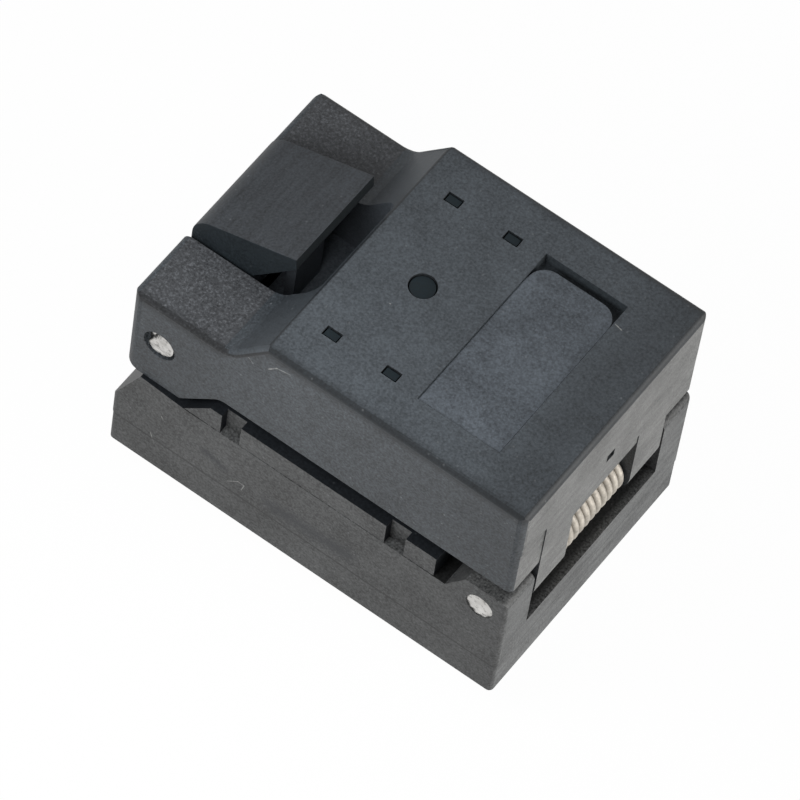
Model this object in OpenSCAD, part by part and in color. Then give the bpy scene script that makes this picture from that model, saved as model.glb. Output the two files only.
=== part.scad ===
// Clamshell test socket for a small leadless chip, closed and latched.
// X runs from the latch end to the hinge end, Y across the socket, Z up.
// The origin is the middle of the seating face that stands on the board.

/* [Base] */
// Length of the base along X
base_l = 30.3; // [29.3:0.1:34]
// How much further the latch end stands from the chip than the hinge end
latch_overhang = 0.3; // [0:0.1:0.6]
// Width of the base along Y
base_w = 20.2; // [19:0.1:24]
// Radius of the base's upright corners
base_corner_r = 0.35; // [0.2:0.05:0.6]
// Thickness of the bottom plate
plate_t = 3; // [2.6:0.1:3.4]
// Thickness of the base floor that holds the contact carrier
floor_t = 2; // [1.8:0.1:2.2]
// Height of the outer ledge above the board
ledge_z = 8.5; // [8.2:0.1:8.8]
// Thickness of the base's side walls
base_wall = 1.7; // [1.5:0.1:1.9]
// Thickness of a hinge ear
hinge_ear_t = 3; // [2.6:0.1:3.3]
// Thickness of the block that carries the latch catch
catch_block_t = 4; // [3.5:0.1:4.5]
// Thickness of the lip that the latch hooks under
lip_t = 0.8; // [0.6:0.05:0.85]

/* [Board interface] */
// Diameter of a locating peg
peg_d = 1.5; // [1.2:0.1:2]
// Length of a locating peg below the seating face
peg_l = 3; // [2.8:0.1:3.5]
// Length of a contact tail below the seating face
tail_l = 2.5; // [1.8:0.1:2.7]
// Distance of the pegs and plate screws from the hinge end
peg_inset_x = 3.5; // [3:0.1:4]
// Distance of the pegs from the sides
peg_inset_y = 2.9; // [2.6:0.1:3.1]
// Shank diameter of a plate screw
screw_d = 1.6; // [1.4:0.1:2]
// Half the distance between the two screws at one end
screw_y = 3.2; // [2.8:0.1:3.6]

/* [Lid] */
// Height of the flat lid top above the board
lid_z = 20.4; // [20:0.1:21.5]
// Height of the ears beside the latch
ear_z = 17.15; // [16.6:0.05:17.6]
// Set-back of the lid from the sides of the base
lid_setback = 0.21; // [0.1:0.01:0.4]
// Height of the lower edge of the lid's side walls
skirt_z = 11.7; // [11.4:0.1:12.1]
// Thickness of the side walls
lid_wall = 1.9; // [1.6:0.1:2.1]
// Thickness of the lid top
lid_roof = 2; // [1.8:0.1:2.4]
// Slope of the ramp from the ears to the top
ramp_angle = 50; // [40:1:60]
// Radius at the foot of the ramp
ramp_r = 2; // [1:0.1:2.5]
// Radius of the upper edges
edge_r = 0.45; // [0.25:0.05:0.5]
// Radius of the lid's upright corners at the hinge end
corner_r = 0.6; // [0.4:0.1:1]
// Radius of the lid's upright corners at the latch end
ear_corner_r = 0.9; // [0.7:0.1:1.2]
// Width of the pocket for the latch lever
pocket_w = 8.72; // [8:0.02:9.4]
// Diameter of the hole in the middle of the top
probe_hole_d = 1.9; // [1.8:0.1:2.4]
// Half the X distance between the four slots in the top
slot_x = 2.27; // [2:0.01:2.4]
// Half the Y distance between the four slots in the top
slot_y = 6.45; // [6.2:0.05:6.6]
// Size of a slot along X
slot_l = 1.15; // [1.05:0.05:1.3]
// Size of a slot across Y
slot_w = 0.75; // [0.65:0.05:0.9]
// Width of the sunk panel beside the hinge
panel_w = 13.8; // [11:0.2:14]
// Depth of the sunk panel's face below the top
panel_step = 0.15; // [0.1:0.05:0.5]
// Depth of the groove round the panel's face
panel_depth = 1; // [0.7:0.1:1.2]

/* [Hinge] */
// Diameter of the hinge pin
hinge_pin_d = 2; // [1.6:0.1:2]
// Distance of the hinge pin from the end of the base
hinge_inset = 1.95; // [1.85:0.05:2.2]
// Width of a lid knuckle
knuckle_w = 3.32; // [2.6:0.02:3.6]
// Wire diameter of the torsion spring
torsion_wire_d = 0.6; // [0.4:0.05:0.6]
// Spacing of the turns of the torsion spring
torsion_pitch = 0.61; // [0.61:0.01:0.8]

/* [Latch] */
// Diameter of the latch pin
latch_pin_d = 2; // [1.6:0.1:2.2]
// Distance of the latch pin from the end of the base
latch_inset = 2.85; // [2.8:0.05:3]
// Height of the latch pin above the board
latch_z = 13.1; // [12.9:0.1:13.4]
// Slope of the thumb pad of the lever
thumb_angle = 19; // [16:1:21]
// Height at which thumb pad and outer face of the lever would meet
thumb_z = 18.8; // [18.4:0.1:19.2]
// Radius between thumb pad and outer face
thumb_r = 2; // [1:0.1:2.4]
// How far the hook reaches under the lip
hook_reach = 1; // [0.8:0.05:1.1]
// Thickness of the hook nose
hook_t = 0.85; // [0.7:0.05:0.9]

/* [Nest frame] */
// Height of the frame above the ledge
frame_h = 1.95; // [1.6:0.05:2.1]
// Set-back of the frame from the sides of the base
frame_setback = 0.03; // [0.02:0.01:0.1]
// How far the frame reaches in over the nest
frame_lip = 0.8; // [0.6:0.1:1]
// Distance of the frame's notches from the middle
notch_x = 6.4; // [5.5:0.1:7]
// Width of a notch
notch_w = 1.5; // [1.2:0.1:2]
// Depth of a notch
notch_depth = 0.35; // [0.25:0.05:0.6]

/* [Nest and contacts] */
// Side of the square chip that the nest seats
chip_l = 5; // [4.6:0.1:5.6]
// Depth of the seat for the chip
seat_depth = 0.6; // [0.5:0.05:0.8]
// Number of contacts on each side
contacts = 8; // [4:1:8]
// Spacing of the contacts
contact_pitch = 0.5; // [0.45:0.01:0.55]
// Thickness of the contact strip
contact_t = 0.2; // [0.15:0.01:0.22]
// Width of a contact's spring arm
arm_w = 0.25; // [0.2:0.01:0.3]
// Travel of the floating nest
nest_travel = 0.4; // [0.2:0.05:0.5]

/* [Pressure pad] */
// Length of the pad's plate along X
pad_l = 6.8; // [6.4:0.1:7.2]
// Width of the pad's plate across Y
pad_w = 14.8; // [14.4:0.1:15]
// Thickness of the pad's plate
pad_t = 1.3; // [1:0.1:1.6]
// Side of the square nose that presses on the chip
nose_l = 5.4; // [4:0.1:6]
// Travel of the pad
pad_travel = 0.5; // [0.3:0.05:0.5]

/* [Clearances] */
// Radial clearance of a pin in the piece that turns on it
run_gap = 0.05; // [0.02:0.01:0.08]
// Gap between pieces that pass each other
side_gap = 0.25; // [0.15:0.01:0.3]
// Gap between pieces that nest in each other
seat_gap = 0.1; // [0.05:0.01:0.15]

/* [Hidden] */
$fn = 48;
slack = 1;

// Ends and heights of the base
end_x = (base_l - latch_overhang) / 2;
base_x0 = end_x - base_l;
base_mid_x = (base_x0 + end_x) / 2;
side_y = base_w / 2;
peg_x = end_x - peg_inset_x;
peg_y = side_y - peg_inset_y;
cavity_z = plate_t + floor_t;
cavity_y = side_y - base_wall;
cheek_rise = 0.35;
cheek_z = ledge_z + cheek_rise;
end_chamfer_x = 1.9;
end_chamfer_z = 3.9;
plate_step = 0.03;

// Hinge
hinge_rise = 0.05;
hinge_x = end_x - hinge_inset;
hinge_z = ledge_z + hinge_rise;
hinge_r = hinge_inset;
hinge_ear_z = hinge_z + hinge_r;
ear_in_y = side_y - hinge_ear_t;
knuckle_out_y = ear_in_y - side_gap;
knuckle_in_y = knuckle_out_y - knuckle_w;
trough_room = 1;
trough_wall = 1.2;
ear_slope = [0.3, 1.7];
trough_x = hinge_x - hinge_r - trough_room;
cavity_x1 = trough_x - trough_wall;
coil_gap = 0.15;

// Lid
lid_end_gap = 0.35;
lid_x0 = base_x0 + lid_end_gap;
lid_x1 = end_x;
lid_y = side_y - lid_setback;
lid_l = lid_x1 - lid_x0;
lid_ear_low = cheek_z + seat_gap;
ear_end_r = 0.7;
ceiling_z = lid_z - lid_roof;
pad_room = 0.6;
room_gap = 0.3;
pad_side_gap = 0.4;
rib_t = 1;
room_x0 = -pad_l / 2 - pad_room;
room_x1 = hinge_x - hinge_r - room_gap;
room_y = max(lid_y - lid_wall, pad_w / 2 + pad_side_gap);
pocket_x = room_x0 - rib_t;
pocket_y = pocket_w / 2;
pocket_r = 0.8;
pocket_rise = 0.7;
pocket_z = skirt_z + pocket_rise;
rear_rise = 1.1;
rear_z = skirt_z + rear_rise;
rear_step = 0.08;
rear_step_h = [3, 1];
ramp_setback = 0.25;
ramp_top_x = pocket_x + ramp_setback;
ramp_x = ramp_top_x - (lid_z - ear_z) / tan(ramp_angle);
ramp_t = ramp_r * tan(ramp_angle / 2);
foot_flats = 4;
panel_from_slot = 2.28;
panel_inset = 4.2;
panel_x0 = slot_x + panel_from_slot;
panel_x1 = lid_x1 - panel_inset;
panel_gap = [0.08, 0.05];
panel_end_gap = 0.7;
panel_r = 1.3;

// Latch
latch_x = base_x0 + latch_inset;
lever_w = pocket_w - 2 * side_gap;
lever_setback = 0.35;
lever_x0 = lid_x0 + lever_setback;
lever_tip_gap = 1.85;
lever_tip_x = pocket_x - lever_tip_gap;
lever_tip_t = 1;
lever_tip_z = thumb_z + (lever_tip_x - lever_x0) * tan(thumb_angle);
lever_reach = 2.25;
lever_rise = 3.3;
lever_in_x = latch_x + lever_reach;
lever_in_z = latch_z + lever_rise;
lever_boss_r = 2;
arm_t = 1.3;
arm_x = lever_x0 + arm_t;
catch_x = arm_x + seat_gap;
cavity_x0 = catch_x + catch_block_t;
lip_drop = 1.2;
lip_z = ledge_z - lip_drop;
hook_z = lip_z - lip_t - seat_gap;
hook_room = 2;
hook_y = 3;
latch_pin_sink = 0.05;
latch_mouth = [0.2, 0.4];
latch_spring_rise = 2.1;
latch_spring_z = latch_z + latch_spring_rise;
latch_spring_r = 0.9;
latch_seat_wall = 0.2;
latch_seat_x = latch_x + latch_pin_d / 2 + run_gap + latch_seat_wall;
spring_post_gap = 1.3;
spring_post_x = lever_in_x + spring_post_gap;
spring_post = [0.7, 3, 0.95];

// Nest frame
frame_z = ledge_z + frame_h;
frame_y = side_y - frame_setback;
frame_foot = [0.8, 0.6];
frame_x0 = cavity_x0 - frame_foot[0];
frame_x1 = trough_x - frame_foot[1];
frame_peg_d = 0.9;
frame_peg_l = 1.5;

// Nest and contacts
nest_drop = 0.75;
nest_z1 = frame_z - nest_drop;
nest_step_z = ledge_z - seat_gap;
arm_rise = 0.65;
arm_z = cavity_z + arm_rise;
nest_clear = 0.425;
nest_z0 = arm_z + arm_w / 2 + nest_travel + nest_clear;
seat_z = nest_z1 - seat_depth;
tip_inset = 0.15;
tip_rise = 0.1;
tip_d = chip_l / 2 - tip_inset;
tip_z = seat_z + tip_rise;
body_d = 4.8;
body_w = 0.8;
tail_w = 0.3;
tail_ds = [4.8, 6];
bend_r = 0.5;
tail_hole = 0.45;
carrier_edge = 0.55;
carrier_l = 2 * (tail_ds[1] + tail_w / 2 + carrier_edge);

// Pressure pad
nose_gap = 0.15;
nose_z = nest_z1 + nose_gap;
pad_rise = 0.6;
pad_z0 = skirt_z + pad_rise;
pad_z1 = pad_z0 + pad_t;
leg_gap = 0.1;
leg_sink = 0.1;
slot_ledge = 1.15;
slot_ledge_z = lid_z - slot_ledge;
slot_neck_step = 0.15;
slot_neck_l = slot_l - 2 * slot_neck_step;
barb_gap = 0.05;
barb_z = slot_ledge_z + barb_gap;
stud_d = probe_hole_d - 2 * leg_gap;
stud_sink = 0.15;
pad_spring_x = 2;
pad_spring_y = 3.8;
pad_spring_r = 1.1;
pad_seat = 0.3;
pad_stop_z = pad_z1 - pad_seat + pad_travel + seat_gap;

// Pins and springs
pin_edge = 0.08;
pad_wire_d = 0.35;
latch_wire_d = 0.3;
nest_wire_d = 0.25;
pad_stop_d = 1.2;
latch_peg = [1, 0.8];
nest_spring_r = 0.9;
nest_seat = 0.6;

moulded = [0.13, 0.14, 0.15];
moulded_dark = [0.09, 0.09, 0.1];
steel = [0.75, 0.74, 0.72];
gold = [0.83, 0.68, 0.37];

// Profile drawn in X and Z, extruded across Y
module across(w) {
    rotate([90, 0, 0]) linear_extrude(w, center = true) children();
}

// Box between two corners given as ranges
module block(x, y, z) {
    translate([x[0], y[0], z[0]]) cube([x[1] - x[0], y[1] - y[0], z[1] - z[0]]);
}

module pin_across(r, w) {
    rotate([90, 0, 0]) cylinder(r = r, h = w, center = true);
}

// Steel pin across Y with its end edges broken
module steel_pin(d, w) {
    e = pin_edge;
    rotate([90, 0, 0]) rotate_extrude() {
        polygon([[0, -w / 2], [d / 2 - e, -w / 2], [d / 2, e - w / 2], [d / 2, w / 2 - e],
            [d / 2 - e, w / 2], [0, w / 2]]);
    }
}

module both_sides() {
    children();
    mirror([0, 1, 0]) children();
}

module rounded_rect(l, w, r) {
    square([l - 2 * r, w], center = true);
    square([l, w - 2 * r], center = true);
    for (sx = [-1, 1], sy = [-1, 1]) {
        translate([sx * (l / 2 - r), sy * (w / 2 - r)]) circle(r);
    }
}

// What rounding takes off a square corner at the origin
module corner_waste(r) {
    difference() {
        translate([-r, -r]) square(r + slack);
        translate([-r, -r]) circle(r);
    }
}

// What breaking an edge in three flats takes off a square corner
module edge_profile(r) {
    flats = [for (a = [0:30:90]) [r * cos(a) - r, r * sin(a) - r]];
    polygon(concat([[slack, -r]], flats, [[-r, slack], [slack, slack]]));
}

// Takes the edge off along X, from the origin, at the +Y +Z corner
module edge_waste(l, r) {
    rotate([90, 0, 90]) linear_extrude(l) edge_profile(r);
}

// Quarter of a bent strip round the origin, in the first quadrant
module bend(r, w) {
    intersection() {
        difference() {
            circle(r + w / 2);
            circle(r - w / 2);
        }
        square(r + w);
    }
}

function unit(v) = v / norm(v);

// Round wire along a path that never runs along the axis given
module wire(path, r, axis, sides) {
    last = len(path) - 1;
    tangents = [for (i = [0:last]) unit(path[min(i + 1, last)] - path[max(i - 1, 0)])];
    rings = [for (i = [0:last], k = [0:sides - 1])
        let (u = unit(cross(tangents[i], axis)), v = cross(tangents[i], u))
        path[i] + r * (cos(360 * k / sides) * u + sin(360 * k / sides) * v)];
    sides_of_wire = [for (i = [0:last - 1], k = [0:sides - 1])
        let (next = (k + 1) % sides, a = i * sides, b = a + sides)
        each [[a + k, a + next, b + next], [a + k, b + next, b + k]]];
    first_cap = [for (k = [sides - 1:-1:0]) k];
    last_cap = [for (k = [0:sides - 1]) last * sides + k];
    polyhedron(rings, concat([first_cap], sides_of_wire, [last_cap]), convexity = 8);
}

// Compression spring along +Z from the origin, with closed ends
module compression_spring(h, r, wire_d, turns, steps) {
    count = turns * steps;
    mean_r = r - wire_d / 2;
    travel = h - wire_d;
    path = [for (i = [0:count])
        let (a = 360 * i / steps, f = i / count)
        [mean_r * cos(a), mean_r * sin(a), wire_d / 2 + travel * spring_rise(f, turns, wire_d / travel)]];
    wire(path, wire_d / 2, [0, 0, 1], 6);
}

// Height along a spring as a share of its rise: one flat turn at each end
function spring_rise(f, turns, flat) =
    let (end = 1 / turns)
    f < end ? flat * f / end
    : f > 1 - end ? 1 - flat * (1 - f) / end
    : flat + (1 - 2 * flat) * (f - end) / (1 - 2 * end);

module base_side() {
    difference() {
        polygon([[base_x0, plate_t], [base_x0, cheek_z - end_chamfer_z],
            [base_x0 + end_chamfer_x, cheek_z], [frame_x0, ledge_z], [trough_x + ear_slope[0], ledge_z],
            [trough_x + ear_slope[1], hinge_ear_z], [end_x, hinge_ear_z], [end_x, plate_t]]);
        translate([end_x, hinge_ear_z]) corner_waste(corner_r);
    }
}

module base_housing() color(moulded) {
    difference() {
        intersection() {
            across(base_w) base_side();
            translate([base_mid_x, 0, 0]) linear_extrude(lid_z) {
                rounded_rect(base_l, base_w, base_corner_r);
            }
        }
        block([cavity_x0, cavity_x1], [-cavity_y, cavity_y], [cavity_z, lid_z]);
        block([-carrier_l / 2 - seat_gap, carrier_l / 2 + seat_gap],
            [-carrier_l / 2 - seat_gap, carrier_l / 2 + seat_gap], [0, lid_z]);
        block([trough_x, end_x + slack], [-ear_in_y, ear_in_y], [cavity_z, lid_z]);
        base_latch_cuts();
        frame_pegs();
        translate([hinge_x, 0, hinge_z]) pin_across(hinge_pin_d / 2, base_w + slack);
        screw_places() cylinder(d = screw_d, h = plate_t + screw_bite + screw_room);
    }
}

// Room for the latch arm, the catch window and the lead-in over the lip
module base_latch_cuts() {
    lead = 0.5;
    block([base_x0 - slack, catch_x], [-pocket_y, pocket_y], [hook_z - hook_room, lid_z]);
    block([base_x0 - slack, cavity_x0 + slack], [-pocket_y, pocket_y], [lip_z, lid_z]);
    block([catch_x - slack, arm_x + hook_reach + 0.3], [-hook_y - side_gap, hook_y + side_gap],
        [hook_z - hook_t - 0.35, hook_z + seat_gap]);
    translate([catch_x, 0, lip_z]) rotate([0, 45, 0]) {
        cube([lead, pocket_w, lead], center = true);
    }
}

module bottom_plate() color(moulded) {
    difference() {
        union() {
            translate([base_mid_x, 0, 0]) linear_extrude(plate_t) {
                rounded_rect(base_l - 2 * plate_step, base_w - 2 * plate_step, base_corner_r);
            }
            for (sx = [-1, 1], sy = [-1, 1]) translate([sx * peg_x, sy * peg_y, 0]) board_peg();
        }
        for (turn = [0:90:270]) rotate(turn) tail_holes();
        cylinder(d = 1, h = plate_t);
        screw_places() screw_hole();
    }
}

module board_peg() {
    tip = 0.4;
    rotate_extrude() {
        polygon([[0, -peg_l], [peg_d / 2 - tip, -peg_l], [peg_d / 2, -peg_l + tip],
            [peg_d / 2, plate_t / 2], [0, plate_t / 2]]);
    }
}

module tail_holes() {
    for (i = [0:contacts - 1]) {
        translate([tail_ds[i % 2], contact_y(i), plate_t / 2]) {
            cube([tail_hole, tail_hole, plate_t + slack], center = true);
        }
    }
}

function contact_y(i) = (i - (contacts - 1) / 2) * contact_pitch;

// Countersunk screw from below: its head, cone, grip in the base, and the room round it
screw_head_r = screw_d / 2 + 0.75;
screw_cone = 0.95;
screw_bite = 1.5;
screw_sink = 0.1;
screw_room = 0.2;

module screw_places() {
    for (sx = [-1, 1], sy = [-1, 1]) translate([sx * peg_x, sy * screw_y, 0]) children();
}

module screw_hole() {
    rotate_extrude() {
        polygon([[0, -slack], [screw_head_r + seat_gap, -slack], [screw_head_r + seat_gap, screw_sink],
            [screw_d / 2 + seat_gap, screw_cone + screw_sink], [screw_d / 2 + seat_gap, plate_t + slack],
            [0, plate_t + slack]]);
    }
}

module plate_screws() color(steel) {
    key_d = 1.2;
    screw_places() difference() {
        rotate_extrude() {
            polygon([[0, screw_sink], [screw_head_r, screw_sink], [screw_d / 2, screw_cone + screw_sink],
                [screw_d / 2, plate_t + screw_bite], [0, plate_t + screw_bite]]);
        }
        cylinder(d = key_d, h = 0.8, $fn = 6);
    }
}

module contact_carrier() color(moulded_dark) {
    fit = 0.02;
    slot = contact_t + 2 * fit;
    ground_fit = 0.1;
    difference() {
        block([-carrier_l / 2, carrier_l / 2], [-carrier_l / 2, carrier_l / 2], [plate_t, cavity_z]);
        for (turn = [0:90:270], i = [0:contacts - 1]) rotate(turn) {
            block([body_d - body_w / 2 - fit, tail_ds[1] + tail_w / 2 + fit],
                [contact_y(i) - slot / 2, contact_y(i) + slot / 2], [0, cavity_z + slack]);
        }
        cylinder(d = ground_d + ground_fit, h = cavity_z + slack);
    }
}

// Side view of a contact: distance from the chip's middle, then height
module contact_outline(tail_d) {
    foot_h = 0.5;
    lap = 0.1;
    translate([tail_d - tail_w / 2, -tail_l]) square([tail_w, tail_l + plate_t + foot_h]);
    translate([body_d - tail_w / 2, plate_t]) square([tail_d - body_d + tail_w, foot_h]);
    translate([body_d - body_w / 2, plate_t]) square([body_w, floor_t]);
    translate([body_d - arm_w / 2, cavity_z - lap]) square([arm_w, arm_z - bend_r - cavity_z + lap]);
    translate([body_d - bend_r, arm_z - bend_r]) bend(bend_r, arm_w);
    translate([tip_d + bend_r, arm_z - arm_w / 2]) square([body_d - tip_d - 2 * bend_r, arm_w]);
    translate([tip_d + bend_r, arm_z + bend_r]) rotate(180) bend(bend_r, arm_w);
    translate([tip_d - arm_w / 2, arm_z + bend_r]) square([arm_w, tip_z - arm_w / 2 - arm_z - bend_r]);
    translate([tip_d, tip_z - arm_w / 2]) circle(arm_w / 2);
}

module contact_row(turn) color(gold) {
    rotate(turn) for (i = [0:contacts - 1]) {
        translate([0, contact_y(i), 0]) across(contact_t) contact_outline(tail_ds[i % 2]);
    }
}

// Ground pin: collar in the carrier, tail below, round head under the chip
ground_d = 1.4;

module ground_pin() color(gold) {
    tail_r = 0.35;
    rotate_extrude() {
        polygon([[0, -tail_l], [tail_r, -tail_l], [tail_r, plate_t], [ground_d / 2, plate_t],
            [ground_d / 2, cavity_z], [0.5, cavity_z + 0.2], [0.5, tip_z - 0.2], [0.3, tip_z], [0, tip_z]]);
    }
}

// Frame that traps the nest, flush with the sides of the base
module nest_frame() color(moulded) {
    difference() {
        across(2 * frame_y) {
            polygon([[frame_x0, ledge_z], [frame_x0 + frame_h, frame_z], [frame_x1, frame_z],
                [frame_x1, ledge_z]]);
        }
        block([cavity_x0 + frame_lip, cavity_x1 - frame_lip],
            [-cavity_y + frame_lip, cavity_y - frame_lip], [0, lid_z]);
        both_sides() for (sx = [-1, 1]) {
            block([sx * notch_x - notch_w / 2, sx * notch_x + notch_w / 2],
                [frame_y - notch_depth, side_y], [0, lid_z]);
        }
    }
    frame_pegs();
}

// Pegs that hold the frame in the base's side walls
module frame_pegs() {
    for (sx = [-1, 1], sy = [-1, 1]) {
        translate([sx * notch_x / 2, sy * (cavity_y + base_wall / 2), ledge_z - frame_peg_l]) {
            cylinder(d = frame_peg_d, h = frame_peg_l + frame_h / 2);
        }
    }
}

// Floating nest: wide foot under the frame, seat for the chip on top
module device_nest() color(moulded_dark) {
    fit = 0.15;
    opening = chip_l + 0.2;
    lead = 0.45;
    relief_r = 0.3;
    arm_room = [0.25, 0.3];
    arm_side = 0.05;
    x = [cavity_x0 + fit, cavity_x1 - fit];
    y = cavity_y - fit;
    difference() {
        union() {
            block(x, [-y, y], [nest_z0, nest_step_z]);
            block([x[0] + frame_lip, x[1] - frame_lip], [-y + frame_lip, y - frame_lip],
                [nest_z0, nest_z1]);
        }
        block([-opening / 2, opening / 2], [-opening / 2, opening / 2], [seat_z, lid_z]);
        for (turn = [0:90:270]) rotate(turn) {
            translate([opening / 2, 0, nest_z1]) rotate([0, 45, 0]) {
                cube([lead, opening - 4 * relief_r, lead], center = true);
            }
            translate([opening / 2, opening / 2, seat_z]) cylinder(r = relief_r, h = lid_z);
            for (i = [0:contacts - 1]) {
                block([tip_d - arm_w / 2 - arm_room[0], tip_d + arm_w / 2 + arm_room[1]],
                    [contact_y(i) - contact_t / 2 - arm_side, contact_y(i) + contact_t / 2 + arm_side],
                    [0, lid_z]);
            }
        }
        translate([0, 0, nest_z0 - slack]) cylinder(d = ground_d, h = lid_z);
        nest_spring_places() translate([0, 0, nest_z0 - slack]) {
            cylinder(r = nest_spring_r + seat_gap, h = nest_seat + slack);
        }
    }
}

module nest_spring_places() {
    inset = 1.6;
    for (x = [cavity_x0 + inset, cavity_x1 - inset], sy = [-1, 1]) {
        translate([x, sy * (cavity_y - inset), 0]) children();
    }
}

module nest_springs() color(steel) {
    nest_spring_places() translate([0, 0, cavity_z]) {
        compression_spring(nest_z0 + nest_seat - cavity_z, nest_spring_r, nest_wire_d, 5, 12);
    }
}

// Side view of the lid up to the ears, with the rise to the skirt rounded
module lid_low_side() {
    low_x = lever_in_x - 0.3;
    low_angle = 43.6;
    heel = [1.2, 0.35];
    skirt_x = low_x + (skirt_z - lid_ear_low) / tan(low_angle);
    skirt_r = 1.2;
    skirt_t = skirt_r * tan(low_angle / 2);
    difference() {
        union() {
            polygon([[lid_x0, lid_ear_low + heel[1]], [lid_x0 + heel[0], lid_ear_low], [low_x, lid_ear_low],
                [skirt_x, skirt_z], [lid_x1, skirt_z], [lid_x1, ear_z], [lid_x0, ear_z]]);
            difference() {
                polygon([[skirt_x, skirt_z + 0.1], [skirt_x + skirt_t, skirt_z],
                    [skirt_x - skirt_t * cos(low_angle), skirt_z - skirt_t * sin(low_angle)]]);
                translate([skirt_x + skirt_t, skirt_z - skirt_r]) circle(skirt_r);
            }
        }
        translate([lid_x0, ear_z]) mirror([1, 0]) corner_waste(ear_end_r);
    }
}

// Side view of the lid from the ramp to the hinge end, with the crest in flats
module lid_top_side() {
    low_z = ear_z - slack;
    crest = [ramp_top_x + edge_r * tan(ramp_angle / 2), lid_z - edge_r];
    flats = [for (a = [ramp_angle:-ramp_angle / 3:0]) crest + edge_r * [-sin(a), cos(a)]];
    difference() {
        polygon(concat([[ramp_x - slack / tan(ramp_angle), low_z]], flats,
            [[lid_x1, lid_z], [lid_x1, low_z]]));
        translate([lid_x1, lid_z]) corner_waste(corner_r);
    }
}

// Outside of the lid, with its upper edges broken along each side
module lid_outside() {
    difference() {
        across(2 * lid_y) lid_low_side();
        both_sides() translate([lid_x0 - slack, lid_y, ear_z]) edge_waste(lid_l + 2 * slack, edge_r);
    }
    difference() {
        across(2 * lid_y) lid_top_side();
        both_sides() {
            translate([ramp_top_x - slack, lid_y, lid_z]) edge_waste(lid_l, edge_r);
            translate([ramp_x, lid_y, ear_z]) rotate([0, -ramp_angle, 0]) translate([-3 * slack, 0, 0]) {
                edge_waste((lid_z - ear_z) / sin(ramp_angle) + 4 * slack, edge_r);
            }
        }
    }
    for (i = [1:foot_flats]) foot_flat(i * ramp_angle / (foot_flats + 1));
}

// One of the flats that round the foot of the ramp
module foot_flat(a) {
    lap = 0.3;
    half = ramp_r * tan(ramp_angle / (foot_flats + 1) / 2) + lap;
    translate([ramp_x - ramp_t + ramp_r * sin(a), 0, ear_z + ramp_r * (1 - cos(a))]) rotate([0, -a, 0]) {
        difference() {
            block([-half, half], [-lid_y, lid_y], [-slack, 0]);
            both_sides() translate([-half - slack, lid_y, 0]) edge_waste(2 * (half + slack), edge_r);
        }
    }
}

module lid() color(moulded) {
    difference() {
        union() {
            lid_shell();
            both_sides() knuckle();
            latch_spring_post();
            pad_spring_places() cylinder_between(pad_stop_d, pad_stop_z, ceiling_z + lid_roof / 2);
        }
        translate([hinge_x, 0, hinge_z]) pin_across(hinge_pin_d / 2 + run_gap, base_w);
        translate([latch_x, 0, latch_z]) pin_across(latch_pin_d / 2, base_w);
        both_sides() translate([latch_x, lid_y, latch_z]) rotate([90, 0, 0]) {
            cylinder(d = latch_pin_d + 2 * latch_mouth[0], h = 2 * latch_mouth[1], center = true);
        }
    }
}

// Post on the pocket's floor, with a peg for the latch spring
module latch_spring_post() {
    block([spring_post_x, spring_post_x + spring_post[0]], [-spring_post[1] / 2, spring_post[1] / 2],
        [pocket_z - slack, latch_spring_z + spring_post[2]]);
    translate([spring_post_x + spring_post[0] / 2, 0, latch_spring_z]) rotate([0, -90, 0]) {
        cylinder(d = latch_peg[0], h = spring_post[0] / 2 + latch_peg[1]);
    }
}

// Upright block over the lid's plan, starting at the latch end
module lid_plan(l, r) {
    translate([lid_x0 + l / 2, 0, 0]) linear_extrude(lid_z + slack) rounded_rect(l, 2 * lid_y, r);
}

module lid_shell() {
    gate = [0.5, 0.8, 0.7];
    gate_drop = 0.8;
    difference() {
        intersection() {
            lid_outside();
            lid_plan(lid_l, corner_r);
            lid_plan(2 * lid_l, ear_corner_r);
        }
        translate([(room_x0 + room_x1) / 2, 0, 0]) linear_extrude(ceiling_z) {
            rounded_rect(room_x1 - room_x0, 2 * room_y, pocket_r);
        }
        block([room_x1 - slack, lid_x1 + slack], [-knuckle_out_y, knuckle_out_y], [0, rear_z]);
        latch_pocket();
        cylinder(d = probe_hole_d, h = lid_z + slack);
        for (sx = [-1, 1], sy = [-1, 1]) translate([sx * slot_x, sy * slot_y, 0]) {
            translate([0, 0, lid_z]) cube([slot_l, slot_w, 2 * (lid_z - slot_ledge_z)], center = true);
            translate([0, 0, ceiling_z]) cube([slot_neck_l, slot_w, 2 * lid_roof], center = true);
        }
        sunk_panel();
        translate([lid_x1, 0, (rear_z + lid_z) / 2 - gate_drop]) cube(gate, center = true);
        both_sides() {
            block([lid_x1 - rear_step, lid_x1 + slack], [knuckle_out_y, side_y],
                [0, rear_z + rear_step_h[0]]);
        }
        block([lid_x1 - rear_step, lid_x1 + slack], [-knuckle_in_y, knuckle_in_y],
            [0, rear_z + rear_step_h[1]]);
    }
}

// Pocket for the lever, open to the latch end and down past its arm
module latch_pocket() {
    reach = pocket_x - lid_x0;
    translate([pocket_x - reach, 0, pocket_z]) linear_extrude(lid_z) {
        rounded_rect(2 * reach, pocket_w, pocket_r);
    }
    block([lid_x0 - slack, lever_in_x + 0.2], [-pocket_y, pocket_y], [0, lid_z]);
}

// Plain sunk panel without marking: its face has a groove beside it and at the +Y end
module sunk_panel() {
    x0 = panel_x0 + panel_gap[0];
    x1 = panel_x1 - panel_gap[1];
    y0 = -panel_w / 2 - panel_r - slack;
    y1 = panel_w / 2 - panel_end_gap;
    difference() {
        block([panel_x0, panel_x1], [-panel_w / 2, panel_w / 2], [lid_z - panel_depth, lid_z + slack]);
        translate([(x0 + x1) / 2, (y0 + y1) / 2, 0]) linear_extrude(lid_z - panel_step) {
            rounded_rect(x1 - x0, y1 - y0, panel_r);
        }
    }
}

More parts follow.
